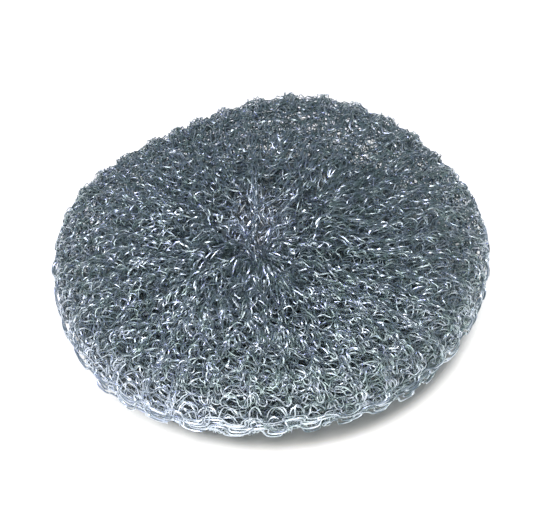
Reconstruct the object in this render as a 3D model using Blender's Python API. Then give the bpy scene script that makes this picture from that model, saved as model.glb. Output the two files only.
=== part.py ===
"""Knitted wire pot scourer, built as the one piece it is.

A tube of knitted galvanised wire is turned in on itself, gathered at its middle and pressed into a
round pad. The pad's skin carries the courses of the knit as wavy ridges, the gathers run out from the
pits in its two faces, and the stitches of the outermost course stand off its rim as open loops.

Units are metres and +Z is up. The pad stands on z = 0 with its bounding box centred on the Z axis.
"""

import math

import bmesh
import bpy
import numpy as np
from mathutils import Vector, noise

# Plan: the mean radius over the rim loops, and the lobes that pull the outline out of round.
# Each lobe row is (number of crests, rise, direction of a crest in degrees).
PAD_RADIUS = 0.0500
PLAN_LOBES = (
    (2, 0.0021, 42.0),
    (3, 0.0008, -46.0),
    (4, 0.0007, -18.0),
    (5, 0.0006, 13.0),
)

# Side view: the overall height, how high the widest part lies, and how full the section is.
PAD_HEIGHT = 0.0280
RIM_HEIGHT = 0.0130
SECTION_FULLNESS = 2.35
PRESSED_DEPTH = 0.0011

# The pits where the tube is gathered, one in each face, and how far they lie off the plan's centre.
TOP_PIT_RADIUS = 0.0100
TOP_PIT_DEPTH = 0.0078
UNDER_PIT_RADIUS = 0.0110
UNDER_PIT_DEPTH = 0.0050
PIT_FLOOR_RADIUS = 0.0016
PIT_OFFSET_X = -0.0035
PIT_OFFSET_Y = -0.0080

# Gathers: folds that run out from the pits. Rows are (number of folds, rise, turn in degrees).
TOP_GATHERS = ((6, 0.00060, 15.0), (11, 0.00055, 4.0), (17, 0.00045, 9.0))
UNDER_GATHERS = ((5, 0.00050, 30.0), (9, 0.00050, 12.0), (16, 0.00040, 3.0))
GATHER_START_RADIUS = 0.0050
GATHER_END_RADIUS = 0.0400
LUMP_SIZE = 0.0170
LUMP_RISE = 0.0016

# Knit: the stitches in one course, and the spacing of the courses where the tube is stretched round
# the rim and where it is drawn together at the pits.
WALES = 38
COURSE_PITCH_AT_RIM = 0.0029
COURSE_PITCH_AT_PIT = 0.0052
COURSE_RIDGE_HEIGHT = 0.00105
COURSE_WAVE_HEIGHT = 0.00165

# Rim loops: how far they stand off the pad, how deep their feet are seated below its grooves, how
# square their arches are (1 is a sine, 0 a box), how far their crowns rise and fall from one stitch
# to the next, and the wire's thickness.
LOOP_STAND = 0.0020
LOOP_SEAT = 0.0006
LOOP_ROUNDNESS = 0.45
LOOP_LIFT = 0.0007
LOOP_LIFT_TURN = 137.5
LOOP_WIRE = 0.0007
LOOP_POINTS = 6

WIRE_COLOUR = (0.50, 0.55, 0.58, 1.0)
WIRE_ROUGHNESS = 0.28

PROFILE_SAMPLES = 600
COLUMNS = 2 * WALES


def clear_scene():
    """Remove whatever the file opened with."""
    for obj in list(bpy.data.objects):
        bpy.data.objects.remove(obj)


def smooth_step(low, high, value):
    """0 below low, 1 above high and an easy slope between."""
    share = min(1.0, max(0.0, (value - low) / (high - low)))
    return share * share * (3.0 - 2.0 * share)


def plan_lobe(angle):
    """How far the outline bulges past the mean radius at this angle."""
    return sum(
        rise * math.cos(count * (angle - math.radians(crest)))
        for count, rise, crest in PLAN_LOBES
    )


def fold_height(folds, angle):
    """The rise of the gathers at this angle."""
    return sum(
        rise * math.cos(count * angle + math.radians(count * turn))
        for count, rise, turn in folds
    )


class Profile:
    """The pad's half section, from the floor of the top pit over the rim to the pit underneath.

    Places on it are counted in courses, because the knit divides the section: the courses close up
    where the wales are stretched apart at the rim, and draw out where they are gathered.
    """

    def __init__(self):
        turn = np.linspace(math.pi / 2, -math.pi / 2, PROFILE_SAMPLES)
        across = np.abs(np.cos(turn)) ** (2 / SECTION_FULLNESS)
        along = np.abs(np.sin(turn)) ** (2 / SECTION_FULLNESS)
        rim_radius = PAD_RADIUS - LOOP_STAND - LOOP_WIRE / 2
        radius = rim_radius * across
        top = RIM_HEIGHT + (PAD_HEIGHT - RIM_HEIGHT) * along
        top -= TOP_PIT_DEPTH * np.exp(-((radius / TOP_PIT_RADIUS) ** 2))
        under = RIM_HEIGHT - (RIM_HEIGHT + PRESSED_DEPTH) * along
        under += UNDER_PIT_DEPTH * np.exp(-((radius / UNDER_PIT_RADIUS) ** 2))
        self.radius = radius
        self.height = np.where(turn > 0, top, under)
        self.rim_radius = rim_radius
        steps = np.hypot(np.diff(self.radius), np.diff(self.height))
        self.length = np.concatenate([[0.0], np.cumsum(steps)])
        stretch = (self.radius / rim_radius) ** 2
        widest = COURSE_PITCH_AT_PIT**2
        pitch = np.sqrt(widest - (widest - COURSE_PITCH_AT_RIM**2) * stretch)
        self.pitch = pitch
        self.course = np.concatenate([[0.0], np.cumsum(steps / pitch[1:])])
        knitted = self.course[self.radius >= PIT_FLOOR_RADIUS]
        self.first = float(knitted[0])
        self.last = float(knitted[-1])

    def rings(self):
        """The number of vertex rings: a ridge and a groove for each course."""
        return 2 * round(self.last - self.first) + 1

    def at(self, course):
        """Radius, height and outward normal (radial, vertical) at a place counted in courses."""
        course = min(self.last, max(self.first, course))
        length = float(np.interp(course, self.course, self.length))
        reach = self.length[-1] / PROFILE_SAMPLES
        before, after = length - reach, length + reach
        run = np.interp(after, self.length, self.radius) - np.interp(before, self.length, self.radius)
        fall = np.interp(after, self.length, self.height) - np.interp(before, self.length, self.height)
        size = math.hypot(run, fall)
        radius = float(np.interp(length, self.length, self.radius))
        height = float(np.interp(length, self.length, self.height))
        return radius, height, (-fall / size, run / size)


def place(radius, height, angle, rim_radius):
    """A point of the section turned to this angle, with the outline's lobes and the pits' offset."""
    share = radius / rim_radius
    reach = radius + plan_lobe(angle) * share**2
    slack = 1.0 - share**2
    return Vector(
        (
            reach * math.cos(angle) + PIT_OFFSET_X * slack,
            reach * math.sin(angle) + PIT_OFFSET_Y * slack,
            height,
        )
    )


def skin_point(profile, ring, column, ring_count):
    """One vertex of the pad's skin, on the ridge or in the groove of its course."""
    angle = 2 * math.pi * column / COLUMNS
    step = (profile.last - profile.first) / (ring_count - 1)
    course = profile.first + ring * step
    middle_radius, _, _ = profile.at(course)
    spread = smooth_step(PIT_FLOOR_RADIUS, TOP_PIT_RADIUS, middle_radius)
    pitch = float(np.interp(course, profile.course, profile.pitch))
    wave = COURSE_WAVE_HEIGHT / 2 / pitch * (1 if column % 2 else -1)
    radius, height, (radial, vertical) = profile.at(course + wave * spread)
    ridge = COURSE_RIDGE_HEIGHT / 2 * (1 if ring % 2 == 0 else -1) * spread
    folds = TOP_GATHERS if vertical > 0 else UNDER_GATHERS
    gathered = smooth_step(PIT_FLOOR_RADIUS, GATHER_START_RADIUS, radius)
    gathered *= 1.0 - smooth_step(GATHER_START_RADIUS, GATHER_END_RADIUS, radius)
    rise = ridge + fold_height(folds, angle) * gathered
    point = place(radius + radial * rise, height + vertical * rise, angle, profile.rim_radius)
    lump = LUMP_RISE * noise.noise(Vector((point.x, point.y, 0.0)) / LUMP_SIZE)
    point.z += lump * vertical * smooth_step(PIT_FLOOR_RADIUS, TOP_PIT_RADIUS, radius)
    point.z = max(point.z, 0.0)
    return point


def make_skin(profile):
    """The pad itself: a sphere whose rings become the courses of the knit."""
    ring_count = profile.rings()
    mesh = bpy.data.meshes.new("knitted_pad")
    shape = bmesh.new()
    bmesh.ops.create_uvsphere(shape, u_segments=COLUMNS, v_segments=ring_count + 1, radius=1.0)
    for vertex in shape.verts:
        polar = math.acos(max(-1.0, min(1.0, vertex.co.z)))
        ring = round(polar / math.pi * (ring_count + 1)) - 1
        if ring < 0 or ring >= ring_count:
            end = profile.first if ring < 0 else profile.last
            _, height, _ = profile.at(end)
            vertex.co = place(0.0, height, 0.0, profile.rim_radius)
            continue
        turn = math.atan2(vertex.co.y, vertex.co.x) / (2 * math.pi)
        column = round(turn * COLUMNS) % COLUMNS
        vertex.co = skin_point(profile, ring, column, ring_count)
    bmesh.ops.triangulate(shape, faces=shape.faces[:], quad_method="SHORT_EDGE")
    shape.to_mesh(mesh)
    shape.free()
    return bpy.data.objects.new("knitted_pad", mesh)


def loop_point(profile, index):
    """A point on the wire of the outermost course, which arches out once for each stitch."""
    angle = 2 * math.pi * index / (WALES * LOOP_POINTS)
    arch = abs(math.sin(WALES * angle / 2)) ** LOOP_ROUNDNESS
    seat = LOOP_SEAT + COURSE_RIDGE_HEIGHT / 2
    reach = profile.rim_radius - seat + arch * (seat + LOOP_STAND)
    stitch = index // LOOP_POINTS
    lift = LOOP_LIFT * arch * math.cos(math.radians(LOOP_LIFT_TURN) * stitch)
    return place(reach, RIM_HEIGHT + lift, angle, profile.rim_radius)


def make_rim_loops(profile):
    """The loops round the rim, as one closed wire whose feet are seated in the pad."""
    curve = bpy.data.curves.new("rim_loops", "CURVE")
    curve.dimensions = "3D"
    curve.bevel_depth = LOOP_WIRE / 2
    curve.bevel_resolution = 0
    spline = curve.splines.new("POLY")
    count = WALES * LOOP_POINTS
    spline.points.add(count - 1)
    for index in range(count):
        spline.points[index].co = (*loop_point(profile, index), 1.0)
    spline.use_cyclic_u = True
    drawn = bpy.data.objects.new("rim_loops_path", curve)
    bpy.context.scene.collection.objects.link(drawn)
    graph = bpy.context.evaluated_depsgraph_get()
    mesh = bpy.data.meshes.new_from_object(drawn.evaluated_get(graph))
    loops = bpy.data.objects.new("rim_loops", mesh)
    loops.matrix_world = drawn.matrix_world
    bpy.data.objects.remove(drawn)
    return loops


def wire_material():
    """Galvanised wire: cool grey metal with a soft shine."""
    material = bpy.data.materials.new("galvanised_wire")
    material.use_nodes = True
    shader = material.node_tree.nodes["Principled BSDF"]
    shader.inputs["Base Color"].default_value = WIRE_COLOUR
    shader.inputs["Metallic"].default_value = 1.0
    shader.inputs["Roughness"].default_value = WIRE_ROUGHNESS
    material.diffuse_color = WIRE_COLOUR
    return material


def centre_on_origin(objects):
    """Move the pieces together so that their common box stands centred on the origin."""
    corners = [Vector(corner) for obj in objects for corner in obj.bound_box]
    low = Vector(min(corner[axis] for corner in corners) for axis in range(3))
    high = Vector(max(corner[axis] for corner in corners) for axis in range(3))
    for obj in objects:
        obj.location = (-(low.x + high.x) / 2, -(low.y + high.y) / 2, -low.z)


def main():
    """Build the pad, join its rim loops to it and stand it on the table."""
    clear_scene()
    profile = Profile()
    pad = make_skin(profile)
    loops = make_rim_loops(profile)
    parts = bpy.data.collections.new("pot_scourer")
    tools = bpy.data.collections.new("joined_pieces")
    bpy.context.scene.collection.children.link(parts)
    bpy.context.scene.collection.children.link(tools)
    parts.objects.link(pad)
    tools.objects.link(loops)
    loops.hide_render = True
    loops.display_type = "WIRE"
    pad.data.materials.append(wire_material())
    pad.data.shade_smooth()
    centre_on_origin([pad, loops])
    join = pad.modifiers.new("rim_loops", "BOOLEAN")
    join.operation = "UNION"
    join.object = loops


main()
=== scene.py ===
"""Looks of the knitted wire pot scourer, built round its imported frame.

The pad is made as the real one is: layers of knitted galvanised wire, one inside the other. Each layer
is a single wire, knitted round and round as a tube that is gathered at both ends and pressed flat. Three
belts lie over the rim, a chain of open loops runs round its widest place, and six knits reach over the
rim and down into both pits. The wales are drawn together into ribs, and behind the top pit a sheaf of
wires is drawn together too.
"""

import logging
import math
from dataclasses import dataclass, field
from enum import Enum, IntEnum

import bpy
import numpy as np
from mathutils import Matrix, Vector, noise


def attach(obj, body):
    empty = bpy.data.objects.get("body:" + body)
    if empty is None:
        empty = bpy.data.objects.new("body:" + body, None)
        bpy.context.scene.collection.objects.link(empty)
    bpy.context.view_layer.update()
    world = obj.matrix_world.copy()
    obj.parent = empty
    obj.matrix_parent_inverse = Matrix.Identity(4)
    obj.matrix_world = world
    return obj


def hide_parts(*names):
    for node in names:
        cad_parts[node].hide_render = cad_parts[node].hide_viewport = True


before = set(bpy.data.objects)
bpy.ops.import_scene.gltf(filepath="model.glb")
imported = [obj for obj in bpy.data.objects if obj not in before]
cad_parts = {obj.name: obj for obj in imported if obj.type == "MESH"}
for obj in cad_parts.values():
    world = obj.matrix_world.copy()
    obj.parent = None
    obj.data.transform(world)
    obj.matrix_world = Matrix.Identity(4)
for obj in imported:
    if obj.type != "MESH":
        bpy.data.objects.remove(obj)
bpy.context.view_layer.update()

LOG = logging.getLogger("pot_scourer")
MM = 0.001
PAD_NODE = "knitted_pad"
PAD_BODY = "root"

# Ribs round the tube, and how many points sample the outline and a section's throat.
RIBS = 38
OUTLINE_SAMPLES = 8 * RIBS
THROAT_SAMPLES = 40

# The random draws: two that all the layers share, and then where each layer's own begin.
CROWD_SEED = 3
SWAY_SEED = 4
FIRST_SEED = 11
CHAIN_SEED = 211
SEEDS_PER_LAYER = 10


def ease(low: float, high: float, value: np.ndarray) -> np.ndarray:
    """0 at low and before it, 1 at high and after it, and a soft slope between."""
    share = np.clip((value - low) / (high - low), 0.0, 1.0)
    return share * share * (3.0 - 2.0 * share)


def between(ends: tuple[float, float], share: np.ndarray) -> np.ndarray:
    """The first value where the share is 0, the second where it is 1, and a mix between."""
    return ends[0] + (ends[1] - ends[0]) * share


def deselect_all() -> None:
    """Leave nothing selected, so that an operator acts only on what is picked after this."""
    for obj in bpy.context.selected_objects:
        obj.select_set(False)


def add_node(tree: bpy.types.NodeTree, kind: str, **settings) -> bpy.types.Node:
    """Add a node and set its properties.

    Args:
        tree: The node tree that gets the node.
        kind: Blender's name for the kind of node.
        settings: Properties of the node and their values.

    Returns:
        The new node.
    """
    node = tree.nodes.new(kind)
    for name, value in settings.items():
        setattr(node, name, value)
    return node


class Wear(Enum):
    """Which copy of the wire's finish a layer gets: the plain one, or a darker copy that paints shade on
    the layers deep inside the pad.
    """

    RUBBED = "plain_wire"
    PAINTED_SHADE = "painted_shade_wire"


class ZincGrain:
    """The patchy bloom and the fine drawing marks of galvanised wire, and a painted sheen, as one shader
    node group.
    """

    NAME = "zinc_grain"
    SOCKETS = (
        ("Bright zinc", "INPUT", "NodeSocketColor"),
        ("Dull zinc", "INPUT", "NodeSocketColor"),
        ("Painted sheen zinc", "INPUT", "NodeSocketColor"),
        ("Patches per metre", "INPUT", "NodeSocketFloat"),
        ("Marks per metre", "INPUT", "NodeSocketFloat"),
        ("Smoothest", "INPUT", "NodeSocketFloat"),
        ("Roughest", "INPUT", "NodeSocketFloat"),
        ("Colour", "OUTPUT", "NodeSocketColor"),
        ("Roughness", "OUTPUT", "NodeSocketFloat"),
        ("Marks", "OUTPUT", "NodeSocketFloat"),
    )
    # The noise of the patches and of the marks, and where a patch turns from bright to dull.
    PATCH_DETAIL = 3.0
    MARK_DETAIL = 2.0
    BRIGHT_BELOW = 0.36
    DULL_ABOVE = 0.64
    # Where a painted sheen lightens the zinc, standing in for highlights: round the rim, and on the sheaf
    # behind the pit.
    IN_PLAN = (1.0, 1.0, 0.0)
    PAINTED_SHEEN_FROM = 48.2 * MM
    PAINTED_SHEEN_FULLY = 52.0 * MM
    SHEAF = (-3.5 * MM, 0.5 * MM, 23.0 * MM)
    SHEAF_REACH = 12.0 * MM
    SHEAF_CORE = 4.0 * MM

    @classmethod
    def group(cls) -> bpy.types.NodeTree:
        """Build the group once and hand out the same one afterwards.

        Returns:
            The group, with sockets for the two zinc tones and the painted sheen's tone, how fine the
            patches and the marks are, and the roughness limits.
        """
        if cls.NAME in bpy.data.node_groups:
            return bpy.data.node_groups[cls.NAME]
        tree = bpy.data.node_groups.new(cls.NAME, "ShaderNodeTree")
        for name, side, kind in cls.SOCKETS:
            tree.interface.new_socket(name, in_out=side, socket_type=kind)
        given = add_node(tree, "NodeGroupInput")
        result = add_node(tree, "NodeGroupOutput")
        place = add_node(tree, "ShaderNodeTexCoord")
        patches = add_node(tree, "ShaderNodeTexNoise")
        patches.inputs["Detail"].default_value = cls.PATCH_DETAIL
        marks = add_node(tree, "ShaderNodeTexNoise")
        marks.inputs["Detail"].default_value = cls.MARK_DETAIL
        edge = add_node(tree, "ShaderNodeMapRange")
        edge.inputs["From Min"].default_value = cls.BRIGHT_BELOW
        edge.inputs["From Max"].default_value = cls.DULL_ABOVE
        tone = add_node(tree, "ShaderNodeMix", data_type="RGBA")
        gloss = add_node(tree, "ShaderNodeMapRange")
        # Painted sheen: a brighter tone mixed in round the rim and on the sheaf, standing in for
        # highlights.
        painted_sheen_tone = add_node(tree, "ShaderNodeMix", data_type="RGBA")
        for texture, scale in ((patches, "Patches per metre"), (marks, "Marks per metre")):
            tree.links.new(place.outputs["Object"], texture.inputs["Vector"])
            tree.links.new(given.outputs[scale], texture.inputs["Scale"])
        tree.links.new(patches.outputs["Fac"], edge.inputs["Value"])
        tree.links.new(edge.outputs["Result"], tone.inputs["Factor"])
        tree.links.new(given.outputs["Bright zinc"], tone.inputs["A"])
        tree.links.new(given.outputs["Dull zinc"], tone.inputs["B"])
        tree.links.new(edge.outputs["Result"], gloss.inputs["Value"])
        tree.links.new(given.outputs["Smoothest"], gloss.inputs["To Min"])
        tree.links.new(given.outputs["Roughest"], gloss.inputs["To Max"])
        tree.links.new(cls.painted_sheen_share(tree, place.outputs["Object"]), painted_sheen_tone.inputs["Factor"])
        tree.links.new(tone.outputs["Result"], painted_sheen_tone.inputs["A"])
        tree.links.new(given.outputs["Painted sheen zinc"], painted_sheen_tone.inputs["B"])
        tree.links.new(painted_sheen_tone.outputs["Result"], result.inputs["Colour"])
        tree.links.new(gloss.outputs["Result"], result.inputs["Roughness"])
        tree.links.new(marks.outputs["Fac"], result.inputs["Marks"])
        return tree

    @classmethod
    def painted_sheen_share(cls, tree: bpy.types.NodeTree, place: bpy.types.NodeSocket) -> bpy.types.NodeSocket:
        """Add the nodes that find how far a painted sheen lightens the zinc, round the rim and on the
        sheaf.

        Args:
            tree: The group's tree.
            place: The socket that gives each point's place in the frame.

        Returns:
            The socket that gives a share from 0 to 1.
        """
        flat = add_node(tree, "ShaderNodeVectorMath", operation="MULTIPLY")
        flat.inputs[1].default_value = cls.IN_PLAN
        from_middle = add_node(tree, "ShaderNodeVectorMath", operation="LENGTH")
        rim = add_node(tree, "ShaderNodeMapRange", interpolation_type="SMOOTHSTEP")
        rim.inputs["From Min"].default_value = cls.PAINTED_SHEEN_FROM
        rim.inputs["From Max"].default_value = cls.PAINTED_SHEEN_FULLY
        from_sheaf = add_node(tree, "ShaderNodeVectorMath", operation="DISTANCE")
        from_sheaf.inputs[1].default_value = cls.SHEAF
        sheaf = add_node(tree, "ShaderNodeMapRange", interpolation_type="SMOOTHSTEP")
        sheaf.inputs["From Min"].default_value = cls.SHEAF_REACH
        sheaf.inputs["From Max"].default_value = cls.SHEAF_CORE
        painted_sheen = add_node(tree, "ShaderNodeMath", operation="MAXIMUM")
        tree.links.new(place, flat.inputs[0])
        tree.links.new(flat.outputs["Vector"], from_middle.inputs[0])
        tree.links.new(from_middle.outputs["Value"], rim.inputs["Value"])
        tree.links.new(place, from_sheaf.inputs[0])
        tree.links.new(from_sheaf.outputs["Value"], sheaf.inputs["Value"])
        tree.links.new(rim.outputs["Result"], painted_sheen.inputs[0])
        tree.links.new(sheaf.outputs["Result"], painted_sheen.inputs[1])
        return painted_sheen.outputs["Value"]


@dataclass(frozen=True)
class WireFinish:
    """Galvanised wire: a cool grey metal in patches of bright and dull zinc bloom, with a painted sheen.

    Its colours are the bright zinc's, the dull zinc's and the painted sheen's, in linear light.
    """

    wear: Wear
    bright: tuple[float, float, float]
    dull: tuple[float, float, float]
    painted_sheen: tuple[float, float, float]
    smoothest: float
    roughest: float
    patches_per_metre: float = 420.0
    marks_per_metre: float = 900.0
    mark_depth: float = 0.008 * MM

    def material(self) -> bpy.types.Material:
        """Build the finish once and hand out the same material afterwards.

        Returns:
            A material with the zinc grain on a metallic shader.
        """
        name = self.wear.value
        if name in bpy.data.materials:
            return bpy.data.materials[name]
        material = bpy.data.materials.new(name)
        material.use_nodes = True
        tree = material.node_tree
        shader = tree.nodes["Principled BSDF"]
        shader.inputs["Metallic"].default_value = 1.0
        grain = add_node(tree, "ShaderNodeGroup", node_tree=ZincGrain.group())
        grain.inputs["Bright zinc"].default_value = (*self.bright, 1.0)
        grain.inputs["Dull zinc"].default_value = (*self.dull, 1.0)
        grain.inputs["Painted sheen zinc"].default_value = (*self.painted_sheen, 1.0)
        grain.inputs["Patches per metre"].default_value = self.patches_per_metre
        grain.inputs["Marks per metre"].default_value = self.marks_per_metre
        grain.inputs["Smoothest"].default_value = self.smoothest
        grain.inputs["Roughest"].default_value = self.roughest
        bump = add_node(tree, "ShaderNodeBump")
        bump.inputs["Distance"].default_value = self.mark_depth
        tree.links.new(grain.outputs["Colour"], shader.inputs["Base Color"])
        tree.links.new(grain.outputs["Roughness"], shader.inputs["Roughness"])
        tree.links.new(grain.outputs["Marks"], bump.inputs["Height"])
        tree.links.new(bump.outputs["Normal"], shader.inputs["Normal"])
        return material


@dataclass(frozen=True)
class Pit:
    """A pit in the middle of a face, where the tube is gathered."""

    radius: float
    depth: float


@dataclass(frozen=True)
class Plan:
    """The pad's outline from above, the same one that the frame's solid has."""

    skin_radius: float = 47.65 * MM
    crown_radius: float = 49.65 * MM
    # Waves round the outline: how many, how high, and where a crest lies in degrees.
    lobes: tuple[tuple[int, float, float], ...] = (
        (2, 2.1 * MM, 42.0),
        (3, 0.8 * MM, -46.0),
        (4, 0.7 * MM, -18.0),
        (5, 0.6 * MM, 13.0),
    )
    pit_offset: tuple[float, float] = (-3.5 * MM, -8.0 * MM)

    def bulge(self, angle: np.ndarray) -> np.ndarray:
        """How far the outline lies outside a circle at each angle."""
        return sum(
            rise * np.cos(count * (angle - math.radians(crest))) for count, rise, crest in self.lobes
        )

    def place(self, radius: np.ndarray, angle: np.ndarray) -> tuple[np.ndarray, np.ndarray]:
        """Turn radius and angle into a place in the plan, as the solid's own points are placed.

        Args:
            radius: Distances from the middle, before the lobes and the pits' offset.
            angle: Directions in radians.

        Returns:
            The x and y of each point, still about the plan's own middle.
        """
        share = radius / self.skin_radius
        reach = radius + self.bulge(angle) * share**2
        slack = 1.0 - share**2
        return (
            reach * np.cos(angle) + self.pit_offset[0] * slack,
            reach * np.sin(angle) + self.pit_offset[1] * slack,
        )

    def middle(self) -> Vector:
        """Where the plan's middle lies in the frame, whose origin is the middle of the outline's box."""
        angle = np.linspace(0, 2 * math.pi, OUTLINE_SAMPLES)
        x, y = self.place(np.full(OUTLINE_SAMPLES, self.crown_radius), angle)
        return Vector((-(x.min() + x.max()) / 2, -(y.min() + y.max()) / 2, 0.0))


@dataclass
class Section:
    """The half section of a layer, from its top pit over the rim to its pit underneath.

    Places on it are counted in courses: they close up where the stitches are stretched wide at the
    rim, and draw out where they are gathered.
    """

    rim_radius: float = 49.4 * MM
    rim_height: float = 13.0 * MM
    top_height: float = 28.0 * MM
    under_height: float = -1.1 * MM
    fullness: float = 2.3
    top_pit: Pit = Pit(10.0 * MM, 7.8 * MM)
    under_pit: Pit = Pit(11.0 * MM, 5.0 * MM)
    throat_radius: float = 2.4 * MM
    throat_depth: float = 6.0 * MM
    # The share of its radius that the throat loses on its way in.
    throat_narrowing: float = 0.5
    # How far apart the courses lie, and how late towards the rim the knit is stretched.
    pitch_at_rim: float = 2.8 * MM
    pitch_at_pit: float = 2.1 * MM
    stretch_power: float = 6.0
    samples: int = 800
    radius: np.ndarray = field(init=False)
    height: np.ndarray = field(init=False)
    radial: np.ndarray = field(init=False)
    vertical: np.ndarray = field(init=False)
    course: np.ndarray = field(init=False)

    def __post_init__(self) -> None:
        """Work out the section's line, its outward normal and its courses."""
        turn = np.linspace(math.pi / 2, -math.pi / 2, self.samples)
        across = np.abs(np.cos(turn)) ** (2 / self.fullness)
        along = np.abs(np.sin(turn)) ** (2 / self.fullness)
        radius = self.rim_radius * across
        top = self.rim_height + (self.top_height - self.rim_height) * along
        top -= self.top_pit.depth * np.exp(-((radius / self.top_pit.radius) ** 2))
        under = self.rim_height - (self.rim_height - self.under_height) * along
        under += self.under_pit.depth * np.exp(-((radius / self.under_pit.radius) ** 2))
        height = np.where(turn > 0, top, under)
        knitted = radius >= self.throat_radius
        radius, height = radius[knitted], height[knitted]
        dive = np.linspace(1.0, 0.0, THROAT_SAMPLES, endpoint=False)
        inward = radius[0] * (1.0 - self.throat_narrowing * dive)
        radius = np.concatenate([inward, radius, inward[::-1]])
        down = height[0] - self.throat_depth * dive
        up = height[-1] + self.throat_depth * dive[::-1]
        height = np.concatenate([down, height, up])
        steps = np.hypot(np.diff(radius), np.diff(height))
        length = np.concatenate([[0.0], np.cumsum(steps)])
        run, rise = np.gradient(radius, length), np.gradient(height, length)
        size = np.hypot(run, rise)
        pitch = between((self.pitch_at_pit, self.pitch_at_rim), self.stretch(radius))
        self.radius, self.height = radius, height
        self.radial, self.vertical = -rise / size, run / size
        self.course = np.concatenate([[0.0], np.cumsum(steps / pitch[1:])])

    def stretch(self, radius: np.ndarray) -> np.ndarray:
        """How far the knit is stretched wide at each radius, from 0 at the pits to 1 at the rim."""
        return (radius / self.rim_radius) ** self.stretch_power

    def span(self, least: float) -> tuple[float, float]:
        """Where a layer begins and ends that leaves both faces open inside a radius.

        Args:
            least: The radius that the layer reaches inward to.

        Returns:
            The first and last places, counted in courses.
        """
        covered = self.course[self.radius >= least]
        return float(covered[0]), float(covered[-1])

    def at(self, course: np.ndarray) -> tuple[np.ndarray, ...]:
        """Read the section at places counted in courses.

        Args:
            course: Places along the section.

        Returns:
            Radius, height, and the outward normal's radial and vertical parts.
        """
        lines = (self.radius, self.height, self.radial, self.vertical)
        return tuple(np.interp(course, self.course, line) for line in lines)


@dataclass(frozen=True)
class Gathers:
    """The folds that run out from a pit, and where along the radius they begin and end."""

    # Waves round the pit: how many, how high, and how far they are turned in degrees.
    folds: tuple[tuple[int, float, float], ...]
    start_radius: float = 5.0 * MM
    end_radius: float = 40.0 * MM

    def over(self, angle: np.ndarray, radius: np.ndarray) -> np.ndarray:
        """Read the folds' rise.

        Args:
            angle: Directions in radians.
            radius: Distances from the middle.

        Returns:
            How far each point is lifted off the section.
        """
        lift = sum(
            rise * np.cos(count * (angle + math.radians(turn))) for count, rise, turn in self.folds
        )
        begun = ease(0.0, self.start_radius, radius)
        return lift * begun * ease(self.end_radius, self.start_radius, radius)


@dataclass(frozen=True)
class Lumps:
    """The pad's broad unevenness, the same one that the frame's solid has."""

    size: float = 17.0 * MM
    rise: float = 1.6 * MM
    full_radius: float = 10.0 * MM

    def over(self, x: np.ndarray, y: np.ndarray, radius: np.ndarray) -> np.ndarray:
        """Read how far each place lies above an even pad.

        Args:
            x: Places in the plan, about its own middle.
            y: The same.
            radius: Their distances from the pit, under which the lumps fade out.

        Returns:
            Heights, for a surface that faces up.
        """
        places = zip((x / self.size).tolist(), (y / self.size).tolist())
        lumps = np.array([noise.noise((across, along, 0.0)) for across, along in places])
        return self.rise * lumps * ease(0.0, self.full_radius, radius)


@dataclass(frozen=True)
class Tuck:
    """The sheaf of wires that is drawn together where the tube's end is tucked in behind the pit."""

    direction: float = math.radians(93)
    inner_radius: float = 4.0 * MM
    foot_radius: float = 8.0 * MM
    crest_radius: float = 18.0 * MM
    outer_radius: float = 29.0 * MM
    width: float = 4.6 * MM
    # How far wires are drawn to its middle, as a share, and how it lies at its foot and at its crest.
    draw: float = 0.75
    sink: float = 0.3 * MM
    rise: float = 1.2 * MM

    def hold(self, angle: np.ndarray, radius: np.ndarray) -> tuple[np.ndarray, np.ndarray]:
        """Find how far each point lies aside of the sheaf and how firmly it is held in it.

        Args:
            angle: Directions in radians.
            radius: Distances from the pit.

        Returns:
            Angles from the sheaf's middle, and shares from 0 to 1.
        """
        off = np.mod(angle - self.direction + math.pi, 2 * math.pi) - math.pi
        near = np.exp(-((off * radius / self.width) ** 2))
        inward = ease(self.inner_radius, self.foot_radius, radius)
        return off, near * inward * ease(self.outer_radius, self.crest_radius, radius)

    def slope(self, radius: np.ndarray) -> np.ndarray:
        """How far the sheaf lies off the layer: in at its foot by the pit, and out at its crest."""
        return between((-self.sink, self.rise), ease(self.foot_radius, self.crest_radius, radius))


@dataclass(frozen=True)
class Ripple:
    """A smooth unevenness over a layer, as a sum of waves that close round the tube."""

    # The spread of its heights, the most folds round the tube, and the shortest wave along it in courses.
    rise: float
    most_folds: int
    shortest_climb: float
    waves: int = 24

    def over(self, angle: np.ndarray, course: np.ndarray, seed: int) -> np.ndarray:
        """Read the unevenness at each point.

        Args:
            angle: Directions round the tube in radians.
            course: Places along the tube in courses.
            seed: Picks the waves.

        Returns:
            Heights whose spread is the ripple's rise.
        """
        draw = np.random.default_rng(seed)
        total = np.zeros_like(angle)
        for _ in range(self.waves):
            folds = draw.integers(-self.most_folds, self.most_folds + 1)
            climb = draw.uniform(-1.0, 1.0) * 2 * math.pi / self.shortest_climb
            total += np.sin(folds * angle + climb * course + draw.uniform(0, 2 * math.pi))
        return self.rise * total * math.sqrt(2 / self.waves)


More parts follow.
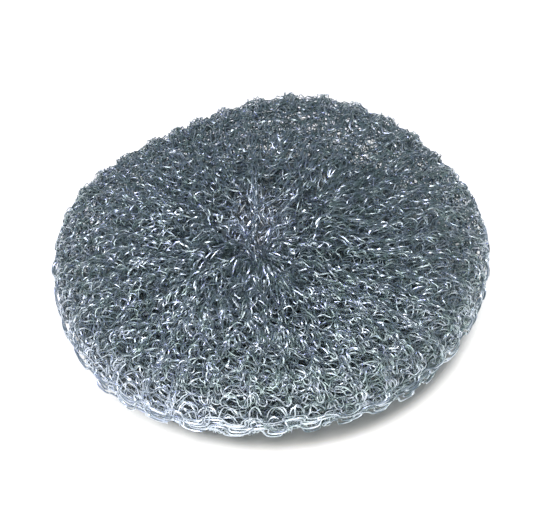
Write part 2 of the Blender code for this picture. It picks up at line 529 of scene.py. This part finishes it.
@dataclass(frozen=True)
class Stitch:
    """One stitch: the wire climbs from a foot up a leg, goes over the head and down to the next foot.

    A place on it is a phase, from 0 at one foot to a full turn at the next. Each value has its size
    where the knit is slack, at the pits, and where it is stretched wide, at the rim.
    """

    # Half the loop's height in courses: over a half, so that each loop reaches into the next.
    reach: tuple[float, float] = (0.68, 0.62)
    # How far heads and feet are widened, which sets the legs upright, as a share of the stitch's width.
    bow: tuple[float, float] = (0.07, 0.08)
    # How far the two legs are drawn together, as a share of the stitch's width.
    pinch: tuple[float, float] = (0.04, 0.02)
    # How far heads and feet are pulled aside, which slants the legs between them.
    scatter: tuple[float, float] = (0.60 * MM, 0.50 * MM)
    # How straight the legs are: 0 is a cosine, and about 0.11 a zigzag.
    straight: float = 0.06
    # How far the legs stand up from heads and feet, so that each loop hangs in the one before.
    depth: tuple[float, float] = (0.32 * MM, 0.32 * MM)
    # How far every head stands out of the cloth, and its feet lie in it.
    lean: tuple[float, float] = (0.0, 0.0)
    # How unlike the stitches are, in size as a share and in how far their heads stand out.
    unlike: tuple[float, float] = (0.30, 0.22)
    tilt: tuple[float, float] = (0.24 * MM, 0.14 * MM)

    def uneven(self, number: np.ndarray, seed: int) -> np.ndarray:
        """A random value for each stitch, easing from one stitch to the next.

        Args:
            number: Places on the wire, counted in stitches.
            seed: Picks the values.

        Returns:
            A value for each place, with a spread of 1.
        """
        whole = np.arange(math.ceil(float(number[-1])) + 1)
        return np.interp(number, whole, np.random.default_rng(seed).normal(size=len(whole)))

    def up(self, number: np.ndarray, taut: np.ndarray, seed: int) -> np.ndarray:
        """How far each place lies up the tube from the middle of its course, in courses."""
        size = 1.0 + between(self.unlike, taut) * self.uneven(2 * number, seed)
        phase = 2 * math.pi * number
        wave = (np.cos(phase) + self.straight * np.cos(3 * phase)) / (1.0 + self.straight)
        return -between(self.reach, taut) * size * wave

    def across(self, number: np.ndarray, taut: np.ndarray, width: np.ndarray, seed: int) -> np.ndarray:
        """How far each place lies aside of an even climb round the tube.

        Args:
            number: Places on the wire, counted in stitches.
            taut: How far the knit is stretched there, from 0 to 1.
            width: How wide the stitches are there.
            seed: Picks which heads and feet are pulled aside.

        Returns:
            Distances along the course.
        """
        phase = 2 * math.pi * number
        pulled = between(self.scatter, taut) * self.uneven(2 * number, seed)
        upright = between(self.bow, taut) * np.sin(2 * phase)
        drawn = between(self.pinch, taut) * np.sin(phase)
        return width * (upright + drawn) + pulled

    def out(self, number: np.ndarray, taut: np.ndarray, seed: int) -> np.ndarray:
        """How far each place lies out of the cloth."""
        phase = 2 * math.pi * number
        head = between(self.lean, taut) + between(self.tilt, taut) * self.uneven(number, seed)
        return -between(self.depth, taut) * np.cos(2 * phase) - head * np.cos(phase)


@dataclass(frozen=True)
class FlatWire:
    """The wire that the pad is knitted from: drawn round and rolled flat."""

    width: float = 0.34 * MM
    thickness: float = 0.17 * MM
    sides: int = 3
    sharp_edge: float = math.radians(50)

    def section(self) -> bpy.types.Object:
        """Draw the wire's cross-section as a closed curve, from a circle one unit across."""
        deselect_all()
        bpy.ops.mesh.primitive_circle_add(vertices=self.sides, radius=0.5, fill_type="NOTHING")
        bpy.ops.object.mode_set(mode="EDIT")
        bpy.ops.transform.resize(value=(self.width, self.thickness, 1.0), center_override=(0.0, 0.0, 0.0))
        bpy.ops.object.mode_set(mode="OBJECT")
        bpy.ops.object.convert(target="CURVE")
        return bpy.context.object

    def hank(self, count: int) -> bpy.types.Object:
        """Open a ring of points: a length of wire before it is knitted.

        Args:
            count: How many points the wire has.

        Returns:
            A chain of edges whose points are in order.
        """
        deselect_all()
        bpy.ops.mesh.primitive_circle_add(vertices=count, radius=1.0, fill_type="NOTHING")
        ring = bpy.context.object
        bpy.ops.object.mode_set(mode="EDIT")
        bpy.ops.mesh.select_mode(type="EDGE")
        bpy.ops.mesh.select_all(action="DESELECT")
        bpy.ops.object.mode_set(mode="OBJECT")
        ends = {0, count - 1}
        for edge in ring.data.edges:
            edge.select = set(edge.vertices) == ends
        bpy.ops.object.mode_set(mode="EDIT")
        bpy.ops.mesh.delete(type="EDGE_FACE")
        bpy.ops.object.mode_set(mode="OBJECT")
        return ring

    def run(self, path: np.ndarray, turn: np.ndarray) -> bpy.types.Object:
        """Lay a length of the wire along a path.

        Args:
            path: Its points in the frame, in metres.
            turn: How far the wire is turned about its own line at each point, in radians.

        Returns:
            The wire as a mesh, with its place in its points.
        """
        section = self.section()
        length = self.hank(len(path))
        length.data.vertices.foreach_set("co", path.ravel())
        bpy.ops.object.convert(target="CURVE")
        curve = bpy.context.object.data
        curve.splines[0].points.foreach_set("tilt", turn)
        curve.bevel_mode = "OBJECT"
        curve.bevel_object = section
        curve.use_fill_caps = True
        bpy.ops.object.convert(target="MESH")
        bpy.ops.object.shade_smooth_by_angle(angle=self.sharp_edge)
        wire = bpy.context.object
        bpy.data.objects.remove(section)
        return wire


class Draw(IntEnum):
    """A layer's own random draws, as steps from its first seed."""

    SIZE = 0
    ASIDE = 1
    WANDER = 2
    JUMBLE = 3
    HEAD = 4
    CURL = 5
    CRUMPLE = 6
    FLIP = 7


@dataclass
class KnitLayer:
    """One layer of the pad: a single wire, knitted round and round over the layer's section."""

    name: str
    section: Section
    finish: WireFinish
    seed: int
    wales: int = RIBS
    points: int = 12
    least_covered: float = 0.0
    wire: FlatWire = FlatWire()
    stitch: Stitch = Stitch()
    plan: Plan = Plan()
    # How far the layer is turned round the pits, and how much farther with each course, in radians.
    turned: float = 0.0
    twist: float = 0.0
    # How far the wales of a rib are drawn together, at the pits and at the rim, and how far it stands out.
    bunch: tuple[float, float] = (0.64, 0.60)
    rib_rise: float = 0.45 * MM
    top_gathers: Gathers = Gathers(((6, 0.60 * MM, 15.0), (11, 0.55 * MM, 4.0), (17, 0.45 * MM, 9.0)))
    under_gathers: Gathers = Gathers(((5, 0.50 * MM, 30.0), (9, 0.50 * MM, 12.0), (16, 0.40 * MM, 3.0)))
    lumps: Lumps = Lumps()
    tuck: Tuck = Tuck()
    # Folds that all the layers share, round the tube and along it.
    sway: Ripple = Ripple(1.1 * MM, 9, 6.0)
    crowd: Ripple = Ripple(0.25, 9, 5.0)
    # Unevenness of the layer's own: out of the cloth, and round the tube.
    curl: Ripple = Ripple(0.12 * MM, 60, 1.5, 40)
    wander: Ripple = Ripple(0.20 * MM, 70, 1.3, 40)
    # Disorder round the pits, out of the cloth and round the tube.
    crumple: Ripple = Ripple(0.9 * MM, 30, 1.6, 40)
    jumble: Ripple = Ripple(1.6 * MM, 9, 2.6)
    crumple_radius: float = 15.0 * MM
    # Keeps a wire that is pushed aside close to the pit from being swung right round it.
    least_radius: float = 3.0 * MM
    # How much of its own unevenness a layer keeps where it is stretched.
    slack_at_rim: float = 0.8
    # How far the flat wire is turned about its own line, in radians.
    flip: float = 0.9
    # The room over the table that the lowest wires are pressed into.
    room: float = 1.2 * MM

    def path(self) -> np.ndarray:
        """Follow the wire from the top pit to the pit underneath.

        Returns:
            Its points in the frame, in metres.
        """
        first, last = self.section.span(self.least_covered)
        stitches = self.wales * round(last - first - 1)
        number = np.arange(stitches * self.points + 1) / self.points
        turn = 2 * math.pi * number / self.wales
        knitted = first + number / self.wales
        midway = knitted + 0.5
        taut = self.section.stretch(self.section.at(midway)[0])
        course = midway + self.stitch.up(number, taut, self.seed + Draw.SIZE)
        course += self.crowd.over(turn, knitted, CROWD_SEED)
        radius, height, radial, vertical = self.section.at(course)
        near_pit = np.exp(-((radius / self.crumple_radius) ** 2))
        slack = between((1.0, self.slack_at_rim), taut)
        width = 2 * math.pi * radius / self.wales
        wander = self.wander.over(turn, course, self.seed + Draw.WANDER)
        aside = self.stitch.across(number, taut, width, self.seed + Draw.ASIDE)
        aside += self.sway.over(turn, knitted, SWAY_SEED) + wander * slack
        aside += self.jumble.over(turn, course, self.seed + Draw.JUMBLE) * near_pit
        ribs = RIBS * (turn + self.turned + self.twist * knitted)
        drawn = between(self.bunch, taut) * np.sin(ribs)
        angle = (ribs - drawn) / RIBS + aside / (radius + self.least_radius)
        curl = self.curl.over(turn, course, self.seed + Draw.CURL)
        lift = self.stitch.out(number, taut, self.seed + Draw.HEAD)
        lift += curl * slack + self.rib_rise * np.cos(ribs)
        lift += self.crumple.over(turn, course, self.seed + Draw.CRUMPLE) * near_pit
        upper = vertical > 0
        off, held = self.tuck.hold(angle, radius)
        held = np.where(upper, held, 0.0)
        angle = angle - self.tuck.draw * off * held
        lift += self.tuck.slope(radius) * held
        top_folds = self.top_gathers.over(angle, radius)
        under_folds = self.under_gathers.over(angle, radius)
        lift += np.where(upper, top_folds, under_folds)
        x, y = self.plan.place(radius + radial * lift, angle)
        middle = self.plan.middle()
        z = self.settle(height + vertical * (lift + self.lumps.over(x, y, radius)))
        return np.stack([x + middle.x, y + middle.y, z], axis=1)

    def settle(self, height: np.ndarray) -> np.ndarray:
        """Press what would reach below the table into the little room over it, in the order it came."""
        lowest = self.wire.width / 2
        short = np.minimum(height - lowest - self.room, 0.0)
        pressed = lowest + self.room * np.exp(short / self.room)
        return np.where(height < lowest + self.room, pressed, height)

    def build(self) -> bpy.types.Object:
        """Knit the layer from one length of wire.

        Returns:
            The finished piece, with its place in its mesh.
        """
        path = self.path()
        number = np.arange(len(path)) / self.points
        turn = self.flip * self.stitch.uneven(2 * number, self.seed + Draw.FLIP)
        layer = self.wire.run(path, turn)
        layer.name = self.name
        layer.data.name = self.name
        return self.dress(layer)

    def dress(self, layer: bpy.types.Object) -> bpy.types.Object:
        """Give the layer its finish and tie it to the frame."""
        layer.data.materials.clear()
        layer.data.materials.append(self.finish.material())
        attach(layer, PAD_BODY)
        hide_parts(PAD_NODE)
        return layer


@dataclass(frozen=True)
class Nesting:
    """Where a layer lies inside the outer one, how it is turned, and how finely its wire is drawn."""

    name: str
    at_rim: float
    at_faces: float
    turned: float
    twist: float
    wales: int
    points: int
    least_covered: float


@dataclass
class Pad:
    """The whole scourer: the outer belt, the chain round the rim, and the layers nested inside them."""

    outer: Section = field(default_factory=Section)
    chain: Section = field(
        default_factory=lambda: Section(
            rim_radius=49.95 * MM, rim_height=11.5 * MM, pitch_at_rim=0.8 * MM
        )
    )
    chain_stitch: Stitch = Stitch(
        reach=(0.68, 1.0),
        bow=(0.04, 0.08),
        pinch=(0.04, 0.0),
        scatter=(0.60 * MM, 0.60 * MM),
        straight=0.0,
        depth=(0.32 * MM, 0.0),
        lean=(0.0, 0.40 * MM),
        unlike=(0.30, 0.24),
        tilt=(0.24 * MM, 0.22 * MM),
    )
    # The plain wire, and a darker copy of it that paints the shade deep inside the pad; the third colour of
    # each is its painted sheen.
    plain: WireFinish = WireFinish(
        Wear.RUBBED, (0.59, 0.64, 0.69), (0.40, 0.49, 0.47), (0.68, 0.74, 0.79), 0.38, 0.52
    )
    painted_shade: WireFinish = WireFinish(
        Wear.PAINTED_SHADE, (0.30, 0.35, 0.39), (0.19, 0.25, 0.24), (0.45, 0.47, 0.48), 0.36, 0.54
    )
    # The outer belt and the chain: their points per stitch, and how near to the pits they reach.
    belt_wales: int = 2 * RIBS
    belt_points: int = 11
    belt_reach: float = 18.0 * MM
    chain_points: int = 20
    chain_reach: float = 49.5 * MM
    chain_wire: FlatWire = FlatWire(0.48 * MM, 0.24 * MM, 4)
    # How many of the nested layers get the plain finish; the deeper ones get the darker copy, which paints
    # shade.
    plain_layers: int = 5
    nested: tuple[Nesting, ...] = (
        Nesting("second_belt", 0.2 * MM, 0.3 * MM, 0.010, 0.000, 2 * RIBS, 10, 22.0 * MM),
        Nesting("third_belt", 0.7 * MM, 0.6 * MM, -0.012, 0.000, 2 * RIBS, 8, 26.0 * MM),
        Nesting("first_knit", 0.5 * MM, 0.1 * MM, 0.006, 0.000, RIBS, 12, 0.0),
        Nesting("second_knit", 1.0 * MM, 0.5 * MM, -0.010, 0.001, RIBS, 10, 0.0),
        Nesting("third_knit", 1.5 * MM, 0.9 * MM, 0.020, 0.001, RIBS, 9, 0.0),
        Nesting("fourth_knit", 2.0 * MM, 1.4 * MM, 0.050, -0.002, RIBS, 8, 0.0),
        Nesting("fifth_knit", 2.6 * MM, 1.9 * MM, 0.090, 0.002, RIBS, 7, 0.0),
        Nesting("sixth_knit", 3.4 * MM, 2.6 * MM, 0.040, -0.003, RIBS, 7, 0.0),
    )

    def inner_section(self, nesting: Nesting) -> Section:
        """The section of a layer that lies this far inside the outer one."""
        return Section(
            rim_radius=self.outer.rim_radius - nesting.at_rim,
            top_height=self.outer.top_height - nesting.at_faces,
            under_height=self.outer.under_height + nesting.at_faces,
            throat_radius=self.outer.throat_radius + nesting.at_faces,
        )

    def layers(self) -> list[KnitLayer]:
        """Every layer, from the outside in."""
        made = [
            KnitLayer(
                "outer_belt",
                self.outer,
                self.plain,
                FIRST_SEED,
                wales=self.belt_wales,
                points=self.belt_points,
                least_covered=self.belt_reach,
            ),
            KnitLayer(
                "rim_chain",
                self.chain,
                self.plain,
                CHAIN_SEED,
                points=self.chain_points,
                least_covered=self.chain_reach,
                wire=self.chain_wire,
                stitch=self.chain_stitch,
                bunch=(0.0, 0.0),
                rib_rise=0.0,
            ),
        ]
        for index, nesting in enumerate(self.nested, start=1):
            made.append(
                KnitLayer(
                    nesting.name,
                    self.inner_section(nesting),
                    # the deeper layers take the darker copy: painted shade
                    self.plain if index <= self.plain_layers else self.painted_shade,
                    FIRST_SEED + index * SEEDS_PER_LAYER,
                    wales=nesting.wales,
                    points=nesting.points,
                    least_covered=nesting.least_covered,
                    turned=nesting.turned,
                    twist=nesting.twist,
                )
            )
        return made

    def build(self) -> list[bpy.types.Object]:
        """Knit every layer and report each one."""
        pieces = []
        for layer in self.layers():
            piece = layer.build()
            LOG.info("%s: %d faces", piece.name, len(piece.data.polygons))
            pieces.append(piece)
        return pieces


@dataclass(frozen=True)
class Lamp:
    """A soft lamp aimed at the pad."""

    name: str
    place: tuple[float, float, float]
    size: float
    power: float
    colour: tuple[float, float, float] = (1.0, 1.0, 1.0)

    def build(self, target: Vector) -> bpy.types.Object:
        """Hang the lamp and aim it.

        Args:
            target: What it is aimed at.

        Returns:
            The lamp.
        """
        light = bpy.data.lights.new(self.name, "AREA")
        light.shape = "DISK"
        light.size = self.size
        light.energy = self.power
        light.color = self.colour
        lamp = bpy.data.objects.new(self.name, light)
        lamp.location = self.place
        lamp.rotation_euler = (target - lamp.location).to_track_quat("-Z", "Y").to_euler()
        bpy.context.scene.collection.objects.link(lamp)
        return lamp


@dataclass(frozen=True)
class Backdrop:
    """A white floor that sweeps up all round into a low wall."""

    radius: float = 1.6
    corners: int = 96
    sweep: float = 0.5
    steps: int = 8
    colour: tuple[float, float, float] = (0.84, 0.80, 0.76)
    glow: float = 0.66
    # The paper's glow is out under the pad and full beyond its edge, about a point a little off its middle
    # towards the right and the front: a painted shadow on top of the pad's real one.
    shadow_offset: tuple[float, float, float] = (1.0 * MM, -1.0 * MM, 0.0)
    unlit_radius: float = 44.0 * MM
    lit_radius: float = 49.0 * MM
    # In reflections the glow falls to a share of itself far from the pad.
    near_radius: float = 0.10
    far_radius: float = 0.55
    far_share: float = 0.25

    def build(self) -> bpy.types.Object:
        """Make the floor from a disc whose edge is extruded up a quarter turn."""
        deselect_all()
        bpy.ops.mesh.primitive_circle_add(vertices=self.corners, radius=self.radius, fill_type="NGON")
        floor = bpy.context.object
        floor.name = "floor"
        bpy.ops.object.mode_set(mode="EDIT")
        bpy.ops.mesh.select_mode(type="EDGE")
        bpy.ops.mesh.select_all(action="SELECT")
        reach = self.radius
        for step in range(1, self.steps + 1):
            bend = math.pi / 2 * step / self.steps
            before = math.pi / 2 * (step - 1) / self.steps
            rise = self.sweep * (math.cos(before) - math.cos(bend))
            wider = self.radius + self.sweep * math.sin(bend)
            bpy.ops.mesh.extrude_edges_move(TRANSFORM_OT_translate={"value": (0.0, 0.0, rise)})
            bpy.ops.transform.resize(value=(wider / reach, wider / reach, 1.0))
            reach = wider
        bpy.ops.object.mode_set(mode="OBJECT")
        bpy.ops.object.shade_smooth()
        floor.data.materials.append(self.material())
        return floor

    def material(self) -> bpy.types.Material:
        """White paper that also glows for the camera and in reflections, and keeps the pad's shadow; its
        glow drops out under the pad, which paints more shadow there.
        """
        material = bpy.data.materials.new("white_paper")
        material.use_nodes = True
        tree = material.node_tree
        tree.nodes.clear()
        output = add_node(tree, "ShaderNodeOutputMaterial")
        both = add_node(tree, "ShaderNodeAddShader")
        paper = add_node(tree, "ShaderNodeBsdfDiffuse")
        paper.inputs["Color"].default_value = (*self.colour, 1.0)
        glow = add_node(tree, "ShaderNodeEmission")
        path = add_node(tree, "ShaderNodeLightPath")
        seen = add_node(tree, "ShaderNodeMath", operation="MAXIMUM")
        seen_through = add_node(tree, "ShaderNodeMath", operation="MAXIMUM")
        strength = add_node(tree, "ShaderNodeMath", operation="MULTIPLY")
        place = add_node(tree, "ShaderNodeTexCoord")
        away = add_node(tree, "ShaderNodeVectorMath", operation="DISTANCE")
        away.inputs[1].default_value = self.shadow_offset
        # Painted shadow: the glow fades out under the pad, about a point set off to the right and the
        # front.
        glow_with_painted_shadow = add_node(tree, "ShaderNodeMapRange", interpolation_type="SMOOTHSTEP")
        glow_with_painted_shadow.inputs["From Min"].default_value = self.unlit_radius
        glow_with_painted_shadow.inputs["From Max"].default_value = self.lit_radius
        glow_with_painted_shadow.inputs["To Max"].default_value = self.glow
        far_off = add_node(tree, "ShaderNodeMapRange", interpolation_type="SMOOTHSTEP")
        far_off.inputs["From Min"].default_value = self.near_radius
        far_off.inputs["From Max"].default_value = self.far_radius
        far_off.inputs["To Min"].default_value = 1.0
        far_off.inputs["To Max"].default_value = self.far_share
        mirrored = add_node(tree, "ShaderNodeMath", operation="MULTIPLY")
        tree.links.new(place.outputs["Object"], away.inputs[0])
        tree.links.new(away.outputs["Value"], glow_with_painted_shadow.inputs["Value"])
        tree.links.new(away.outputs["Value"], far_off.inputs["Value"])
        tree.links.new(glow_with_painted_shadow.outputs["Result"], strength.inputs[1])
        tree.links.new(path.outputs["Is Glossy Ray"], mirrored.inputs[0])
        tree.links.new(far_off.outputs["Result"], mirrored.inputs[1])
        tree.links.new(path.outputs["Is Camera Ray"], seen.inputs[0])
        tree.links.new(mirrored.outputs["Value"], seen.inputs[1])
        tree.links.new(seen.outputs["Value"], seen_through.inputs[0])
        tree.links.new(path.outputs["Is Transmission Ray"], seen_through.inputs[1])
        tree.links.new(seen_through.outputs["Value"], strength.inputs[0])
        tree.links.new(strength.outputs["Value"], glow.inputs["Strength"])
        tree.links.new(paper.outputs["BSDF"], both.inputs[0])
        tree.links.new(glow.outputs["Emission"], both.inputs[1])
        tree.links.new(both.outputs["Shader"], output.inputs["Surface"])
        return material


@dataclass
class Studio:
    """The white room, its lamps and the camera."""

    elevation: float = 48.2
    distance: float = 0.46
    lens: float = 132.3
    shift: tuple[float, float] = (-0.0054, -0.0091)
    clip_start: float = 0.01
    target_height: float = 13.0 * MM
    sky: tuple[float, float, float] = (0.55, 0.80, 1.00)
    sky_strength: float = 0.21
    backdrop: Backdrop = Backdrop()
    lamps: tuple[Lamp, ...] = (
        Lamp("key_lamp", (-0.10, -0.42, 1.05), 0.60, 8.3, (1.0, 0.98, 0.94)),
        Lamp("front_lamp", (0.05, -1.00, 0.20), 0.45, 4.4),
        Lamp("violet_lamp", (-0.24, -0.26, 1.10), 0.05, 2.1, (0.28, 0.25, 1.0)),
    )

    def build(self, target: Vector) -> None:
        """Set up the room round the pad.

        Args:
            target: The point that the camera and the lamps look at.
        """
        self.backdrop.build()
        for lamp in self.lamps:
            lamp.build(target)
            LOG.info("%s hung", lamp.name)
        self.build_world()
        self.build_camera(target)
        bpy.context.scene.view_settings.view_transform = "Standard"

    def build_world(self) -> None:
        """An even, faintly blue sky light."""
        world = bpy.data.worlds.new("sky")
        world.use_nodes = True
        background = world.node_tree.nodes["Background"]
        background.inputs["Color"].default_value = (*self.sky, 1.0)
        background.inputs["Strength"].default_value = self.sky_strength
        bpy.context.scene.world = world

    def build_camera(self, target: Vector) -> None:
        """Put the camera at the photograph's angle."""
        lens = bpy.data.cameras.new("camera")
        lens.lens = self.lens
        lens.shift_x, lens.shift_y = self.shift
        lens.clip_start = self.clip_start
        camera = bpy.data.objects.new("camera", lens)
        tilt = math.radians(self.elevation)
        camera.location = target + self.distance * Vector((0.0, -math.cos(tilt), math.sin(tilt)))
        camera.rotation_euler = (math.pi / 2 - tilt, 0.0, 0.0)
        bpy.context.scene.collection.objects.link(camera)
        bpy.context.scene.camera = camera


def main() -> None:
    """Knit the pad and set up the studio."""
    logging.basicConfig(level=logging.INFO, format="%(name)s: %(message)s")
    Pad().build()
    studio = Studio()
    middle = Plan().middle()
    studio.build(Vector((middle.x, middle.y, studio.target_height)))


if __name__ == "__main__":
    main()
